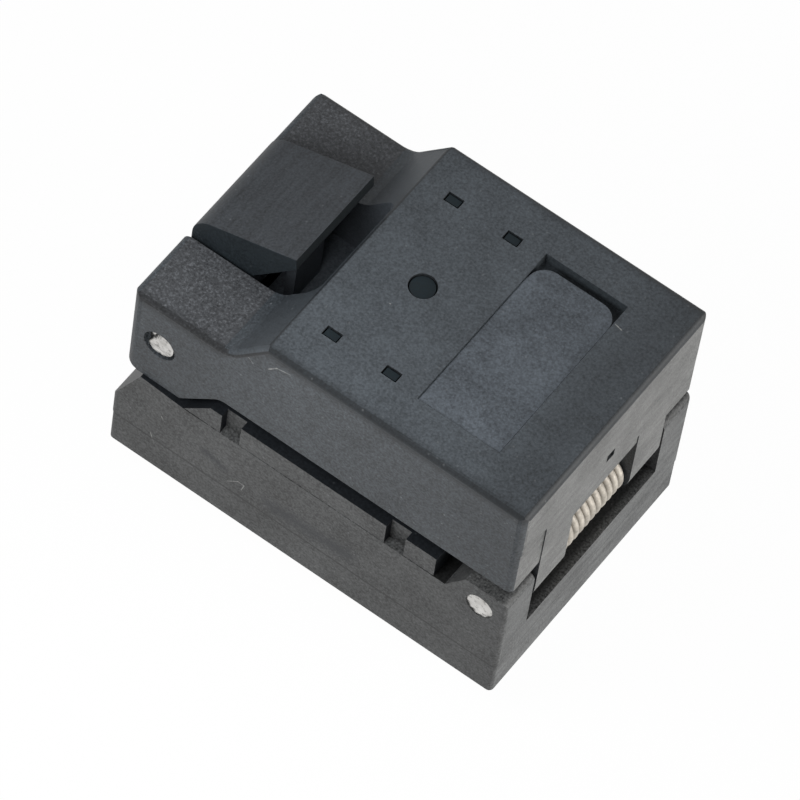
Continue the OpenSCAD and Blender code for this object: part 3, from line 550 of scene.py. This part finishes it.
def coil(place, axis, height, radius, wire_d, turns):
    """Path of a compression spring from a place along an axis, with a flat turn at each end."""
    turn = Vector(UP).rotation_difference(Vector(axis))
    flat = wire_d / (height - wire_d)
    end = 1 / turns
    mean = radius - wire_d / 2
    path = []
    for i in range(turns * COIL_STEPS + 1):
        f = i / (turns * COIL_STEPS)
        if f < end:
            rise = flat * f / end
        elif f > 1 - end:
            rise = 1 - flat * (1 - f) / end
        else:
            rise = flat + (1 - 2 * flat) * (f - end) / (1 - 2 * end)
        a = 2 * math.pi * i / COIL_STEPS
        z = wire_d / 2 + (height - wire_d) * rise
        path.append(Vector(place) + turn @ Vector((mean * math.cos(a), mean * math.sin(a), z)))
    return path


def coils(name, node, places, axis, height, radius, wire_d, turns):
    """Compression springs from the places along an axis, which stand for a CAD node."""
    paths = [coil(place, axis, height, radius, wire_d, turns) for place in places]
    return wires(name, node, paths, wire_d / 2, COIL_SIDES)


# Cut ends of the pins: how far they dip, in mm, with coarse and fine dents of a noise (scale
# per mm, depth, shift between the two ends), a worn rim and a chip on one side.
PIN_AROUND, PIN_RINGS, PIN_WELD, PIN_HARD_ANGLE = 48, 9, 1e-8, math.radians(50)
DIP, COARSE_DENTS, FINE_DENTS = 0.035, (2.6, 0.05, 3.0), (7.0, 0.02, 5.0)
WORN_DEPTH, WORN_START, WORN_POWER = 0.24, 0.62, 1.5
CHIP_DEPTH, CHIP_START, CHIP_SLOPE = 0.34, 0.50, 0.12


def pin(name, node, body, place, half, seed, chip=None):
    """Steel pin across Y with roughly cut ends, the near one chipped on the side chip points to."""
    r = PIN_D / 2
    verts, faces = [], []
    for side in (-1, 1):
        for j in range(PIN_RINGS + 1):
            share = j / PIN_RINGS
            for k in range(PIN_AROUND):
                a = 2 * math.pi * k / PIN_AROUND
                p = Vector((r * share * math.cos(a), 0, r * share * math.sin(a)))
                dip = DIP + WORN_DEPTH * max(0.0, share - WORN_START) ** WORN_POWER
                for scale, depth, shift in (COARSE_DENTS, FINE_DENTS):
                    at = Vector((p.x * scale + seed, p.z * scale, side * shift))
                    dip += depth * noise.noise(at)
                if chip and side < 0:
                    beyond = max(0.0, p.dot(chip) / r - CHIP_START)
                    dip += CHIP_DEPTH * min(1.0, beyond / CHIP_SLOPE)
                x, y, z = place[0] + p.x, side * (half - max(0.0, dip)), place[1] + p.z
                verts.append((x * MM, y * MM, z * MM))
    count = (PIN_RINGS + 1) * PIN_AROUND
    for first in (0, count):
        for j in range(PIN_RINGS):
            for k in range(PIN_AROUND):
                a = first + j * PIN_AROUND + k
                b = first + j * PIN_AROUND + (k + 1) % PIN_AROUND
                quad = (a, b, b + PIN_AROUND, a + PIN_AROUND)
                faces.append(quad if first == 0 else quad[::-1])
    rim = PIN_RINGS * PIN_AROUND
    for k in range(PIN_AROUND):
        a, b = rim + k, rim + (k + 1) % PIN_AROUND
        faces.append((a, b, b + count, a + count))
    mesh = bpy.data.meshes.new(name)
    mesh.from_pydata(verts, [], faces)
    bm = bmesh.new()
    bm.from_mesh(mesh)
    bmesh.ops.remove_doubles(bm, verts=bm.verts, dist=PIN_WELD)
    bmesh.ops.recalc_face_normals(bm, faces=bm.faces)
    for face in bm.faces:
        face.smooth = True
    for edge in bm.edges:
        if len(edge.link_faces) == 2 and edge.calc_face_angle() > PIN_HARD_ANGLE:
            edge.smooth = False
    bm.to_mesh(mesh)
    bm.free()
    piece = new_object(name, mesh, PIN)
    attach(piece, body)
    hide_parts(node)


LID_MATERIALS = (SIDE, TOP, EAR, RAMP_SHADED, PANEL, GROOVE_SHADE, POCKET_LIT, SHADE, END_LIT)
BASE_MATERIALS = (BASE, BASE_END_LIT, TROUGH, LEDGE, GAP_SHADE)
LEVER_MATERIALS = (SIDE, THUMB_SHADED, INNER_AND_SHADE, LEVER_END_SHADE, POCKET_LIT)

# How far a face looks along an axis, as that part of its normal.
FACING, MOSTLY, LEANING, SLIGHTLY = 0.9, 0.5, 0.3, 0.1
# How close in mm a face's middle or a vertex lies to a place to be there, and how far below the
# ears' tops the broken edges reach.
NEAR, AT, EDGE_DROP = 0.1, 0.02, 0.7


def lid_material(centre, normal):
    """Index in LID_MATERIALS for a face of the lid."""
    on_panel = PANEL_X[0] < centre.x < PANEL_X[1] and abs(centre.y) < PANEL_Y
    if on_panel and LID_TOP - PANEL_DEPTH < centre.z < LID_TOP - AT:
        is_face = normal.z > FACING and abs(centre.z - PANEL_TOP) < NEAR
        return LID_MATERIALS.index(PANEL if is_face else GROOVE_SHADE)
    at_latch = centre.x < POCKET_X + NEAR
    if normal.z > SLIGHTLY and centre.z > EAR_TOP - EDGE_DROP:
        if at_latch:
            return LID_MATERIALS.index(RAMP_SHADED if normal.x < -LEANING else EAR)
        return LID_MATERIALS.index(TOP)
    if normal.x > FACING and centre.x > HINGE[0]:
        return LID_MATERIALS.index(END_LIT)
    # In the latch pocket, faces other than the side walls get painted light.
    if at_latch and abs(centre.y) < POCKET_Y + NEAR:
        return LID_MATERIALS.index(SHADE if abs(normal.y) > FACING else POCKET_LIT)
    return LID_MATERIALS.index(SIDE)


def base_material(centre, normal):
    """Index in BASE_MATERIALS for a face of the base, its plate or the nest frame."""
    if normal.x > FACING and centre.x > HINGE[0]:
        return BASE_MATERIALS.index(BASE_END_LIT)
    if normal.z > FACING and centre.x > TROUGH_X and abs(centre.z - TROUGH_Z) < NEAR:
        return BASE_MATERIALS.index(TROUGH)
    if normal.z > FACING and abs(centre.z - LEDGE_Z) < NEAR:
        return BASE_MATERIALS.index(LEDGE)
    # Painted shade on the base's faces under the lid.
    shaded_by_lid = (-HINGE[0] < centre.x < TROUGH_X
                 and UNDER_LID_Z[0] < centre.z < UNDER_LID_Z[1])
    return BASE_MATERIALS.index(GAP_SHADE if shaded_by_lid and abs(normal.y) < MOSTLY else BASE)


def lever_material(centre, normal):
    """Index in LEVER_MATERIALS for a face of the lever."""
    if normal.z > MOSTLY and centre.z > EAR_TOP:
        return LEVER_MATERIALS.index(THUMB_SHADED)
    # Painted shade on the lever's end face.
    if normal.x > LEANING and centre.z > EAR_TOP:
        return LEVER_MATERIALS.index(LEVER_END_SHADE)
    # Painted shade on the lever's sides, in the gaps beside the ears.
    if abs(normal.y) > FACING:
        return LEVER_MATERIALS.index(INNER_AND_SHADE)
    # Lever faces towards the pocket get the pocket's painted light.
    in_pocket = normal.x > LEANING and centre.z > LATCH[1]
    return LEVER_MATERIALS.index(POCKET_LIT if in_pocket else SIDE)


def deepen_notches(bm):
    """Moves the backs of the nest frame's notches further in."""
    for vert in bm.verts:
        if abs(abs(vert.co.y) / MM - NOTCH_BACK_Y) < AT:
            vert.co.y -= math.copysign(NOTCH_EXTRA * MM, vert.co.y)


soften("lid", "lid", LID_MATERIALS, edge_mm=0.12, pick=lid_material)
soften("base_housing", "base", BASE_MATERIALS, edge_mm=0.10, pick=base_material)
soften("bottom_plate", "base", BASE_MATERIALS, edge_mm=0.06, pick=base_material)
soften("nest_frame", "base", BASE_MATERIALS, edge_mm=0.08, pick=base_material,
       shape=deepen_notches)
soften("latch_lever", "latch", LEVER_MATERIALS, edge_mm=0.16, pick=lever_material)
soften("device_nest", "nest", (INNER_AND_SHADE,), edge_mm=0.05)
soften("pressure_pad", "pad", (PAD_SHADE,), edge_mm=0.05)

# The panel's narrow side gaps are shallow: a strip closes each just below the panel's face.
SEAM_TOP, SEAM_T = PANEL_TOP - 0.04, 0.1
SEAM_X, SEAM_Y = ((4.53, 4.65), (10.73, 10.82)), (-6.85, 4.85)
BOX_FACES = ((0, 2, 3, 1), (4, 5, 7, 6), (0, 1, 5, 4), (2, 6, 7, 3), (0, 4, 6, 2), (1, 3, 7, 5))
seam_verts, seam_faces = [], []
for ends in SEAM_X:
    first = len(seam_verts)
    seam_verts += [(x * MM, y * MM, z * MM)
                   for z in (SEAM_TOP - SEAM_T, SEAM_TOP) for y in SEAM_Y for x in ends]
    seam_faces += [tuple(first + i for i in face) for face in BOX_FACES]
seam_mesh = bpy.data.meshes.new("panel_seams")
seam_mesh.from_pydata(seam_verts, [], seam_faces)
seams = new_object("panel_seams", seam_mesh, PANEL)
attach(seams, "lid")

# CAD nodes that stay as they are, apart from their material.
for name, material in (
    ("contact_row_front", GOLD),
    ("contact_row_back", GOLD),
    ("contact_row_left", GOLD),
    ("contact_row_right", GOLD),
    ("ground_pin", GOLD),
    ("contact_carrier", INNER_AND_SHADE),
    ("plate_screws", SCREW),
):
    nodes[name].data.materials.clear()
    nodes[name].data.materials.append(material)

pin("hinge_pin_rough", "hinge_pin", "base", HINGE, HINGE_PIN_HALF, seed=1.3)
pin("latch_pin_rough", "latch_pin", "lid", LATCH, LATCH_PIN_HALF, seed=8.1,
    chip=Vector((-0.8, 0, 0.6)))

# Torsion spring on the hinge pin, with one leg down towards the base and one up towards the lid.
COIL_R, WIRE_R, WIRE_SIDES = 1.45, 0.295, 14
COIL_Y, TURNS, STEPS, COIL_START = 3.13, 10.25, 40, math.radians(-45)
FOOT_DROP, HEAD_RISE, LEG_STEPS = 2.125, 2.825, 8
count = int(TURNS * STEPS)
turns = []
for i in range(count + 1):
    a = COIL_START + 2 * math.pi * i / STEPS
    turns.append(Vector((HINGE[0] + COIL_R * math.cos(a), COIL_Y * (2 * i / count - 1),
                         HINGE[1] + COIL_R * math.sin(a))))
foot = [turns[0] - Vector((1, 0, 1)) * FOOT_DROP * (1 - k / LEG_STEPS) for k in range(LEG_STEPS)]
head = [turns[-1] + Vector((-1, 0, 1)) * HEAD_RISE * (k + 1) / LEG_STEPS for k in range(LEG_STEPS)]
torsion = wires("torsion_spring", "hinge_spring", [foot + turns + head], WIRE_R, WIRE_SIDES)
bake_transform(torsion)

# Compression springs: pad, nest and latch.
PAD_SPRING_Z, CEILING_Z, PAD_TRAVEL = 13.3, 18.4, 0.5
PAD_SPRING_X, PAD_SPRING_Y = 2.0, 3.8
pad_height = CEILING_Z - PAD_SPRING_Z
pad_places = [(x, y, PAD_SPRING_Z) for x in (-PAD_SPRING_X, PAD_SPRING_X)
              for y in (-PAD_SPRING_Y, PAD_SPRING_Y)]
pad_springs = coils("pad_coils", "pad_springs", pad_places, UP, pad_height,
                    radius=1.1, wire_d=0.35, turns=7)
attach(pad_springs, "lid")
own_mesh(pad_springs)

NEST_SPRING_Z, NEST_SEAT_Z, NEST_TRAVEL, NEST_COIL_R = 5.0, 7.2, 0.4, 0.9
nest_height = NEST_SEAT_Z - NEST_SPRING_Z
low, high = (Vector(corner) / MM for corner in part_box("nest_springs"))
nest_places = [(x, y, NEST_SPRING_Z) for x in (low.x + NEST_COIL_R, high.x - NEST_COIL_R)
               for y in (low.y + NEST_COIL_R, high.y - NEST_COIL_R)]
nest_springs = coils("nest_coils", "nest_springs", nest_places, UP, nest_height,
                     radius=NEST_COIL_R, wire_d=0.25, turns=5)
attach(nest_springs, "base")
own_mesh(nest_springs)

LATCH_SPRING_Z, POST_X, LATCH_SEAT_X = 15.2, -8.9, -11.2
latch_spring = coils("latch_coil", "latch_spring", [(LATCH_SEAT_X, 0, LATCH_SPRING_Z)], (1, 0, 0),
                     POST_X - LATCH_SEAT_X, radius=0.9, wire_d=0.3, turns=5)
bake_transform(latch_spring)


def seen_directly(tree, low, high):
    """high for rays from the camera, straight or by a reflection or glass, and low for others."""
    path = tree.nodes.new("ShaderNodeLightPath")
    value = path.outputs["Is Camera Ray"]
    for ray in ("Is Glossy Ray", "Is Transmission Ray"):
        either = tree.nodes.new("ShaderNodeMath")
        either.operation = "MAXIMUM"
        tree.links.new(value, either.inputs[0])
        tree.links.new(path.outputs[ray], either.inputs[1])
        value = either.outputs[0]
    node = tree.nodes.new("ShaderNodeMapRange")
    node.inputs["To Min"].default_value = low
    node.inputs["To Max"].default_value = high
    tree.links.new(value, node.inputs["Value"])
    return node.outputs["Result"]


# Pale matt floor that looks nearly white and keeps the shadow.
FLOOR_HALF, FLOOR_GLOW, FLOOR_COLOUR = 1.5, 0.98, (0.94, 0.94, 0.94, 1)
floor_mesh = bpy.data.meshes.new("floor")
corners = [(x * FLOOR_HALF, y * FLOOR_HALF, 0) for x, y in ((-1, -1), (1, -1), (1, 1), (-1, 1))]
floor_mesh.from_pydata(corners, [], [(0, 1, 2, 3)])
floor_paint = bpy.data.materials.new("floor")
floor_paint.use_nodes = True
tree = floor_paint.node_tree
matt = tree.nodes["Principled BSDF"]
matt.inputs["Base Color"].default_value = FLOOR_COLOUR
matt.inputs["Roughness"].default_value = 0.9
matt.inputs["Specular IOR Level"].default_value = 0.1
white = tree.nodes.new("ShaderNodeEmission")
blend = tree.nodes.new("ShaderNodeMixShader")
tree.links.new(seen_directly(tree, 0.0, FLOOR_GLOW), blend.inputs["Fac"])
tree.links.new(matt.outputs[0], blend.inputs[1])
tree.links.new(white.outputs[0], blend.inputs[2])
tree.links.new(blend.outputs[0], tree.nodes["Material Output"].inputs["Surface"])
floor = new_object("floor", floor_mesh, floor_paint)
floor.location.z = FLOOR_Z * MM

# White surroundings that light the object only softly.
DOME = 0.19
world = bpy.data.worlds.new("studio")
scene.world = world
world.use_nodes = True
tree = world.node_tree
back = tree.nodes["Background"]
back.inputs["Color"].default_value = (1, 1, 1, 1)
tree.links.new(seen_directly(tree, DOME, 1.0), back.inputs["Strength"])

LIT_PLACE = Vector((0, 0, 0.01))


def lamp(name, place, size, watts, colour):
    """Round soft lamp that shines on the object and isn't seen by the camera."""
    data = bpy.data.lights.new(name, "AREA")
    data.shape = "DISK"
    data.size = size
    data.energy = watts
    data.color = colour
    light = bpy.data.objects.new(name, data)
    scene.collection.objects.link(light)
    light.location = place
    light.rotation_euler = (LIT_PLACE - Vector(place)).to_track_quat("-Z", "Y").to_euler()
    light.visible_camera = False
    return light


key = lamp("key", (-0.008, -0.038, 0.055), size=0.035, watts=0.029, colour=(0.97, 0.985, 1.0))
key.visible_glossy = False
lamp("side", (0.54, 0.10, 0.08), size=0.35, watts=3.9, colour=(1.0, 0.99, 0.97))

camera_data = bpy.data.cameras.new("photo_camera")
camera_data.sensor_width = 36.0
camera_data.lens = 360.0
camera_data.clip_start = 0.01
camera_data.clip_end = 20.0
camera = bpy.data.objects.new("photo_camera", camera_data)
scene.collection.objects.link(camera)
turn = Matrix((RIGHT, -DOWN, -FORWARD)).transposed().to_4x4()
camera.matrix_world = Matrix.Translation(EYE_MM * MM) @ turn
scene.camera = camera
scene.view_settings.view_transform = "Standard"

bpy.context.view_layer.update()
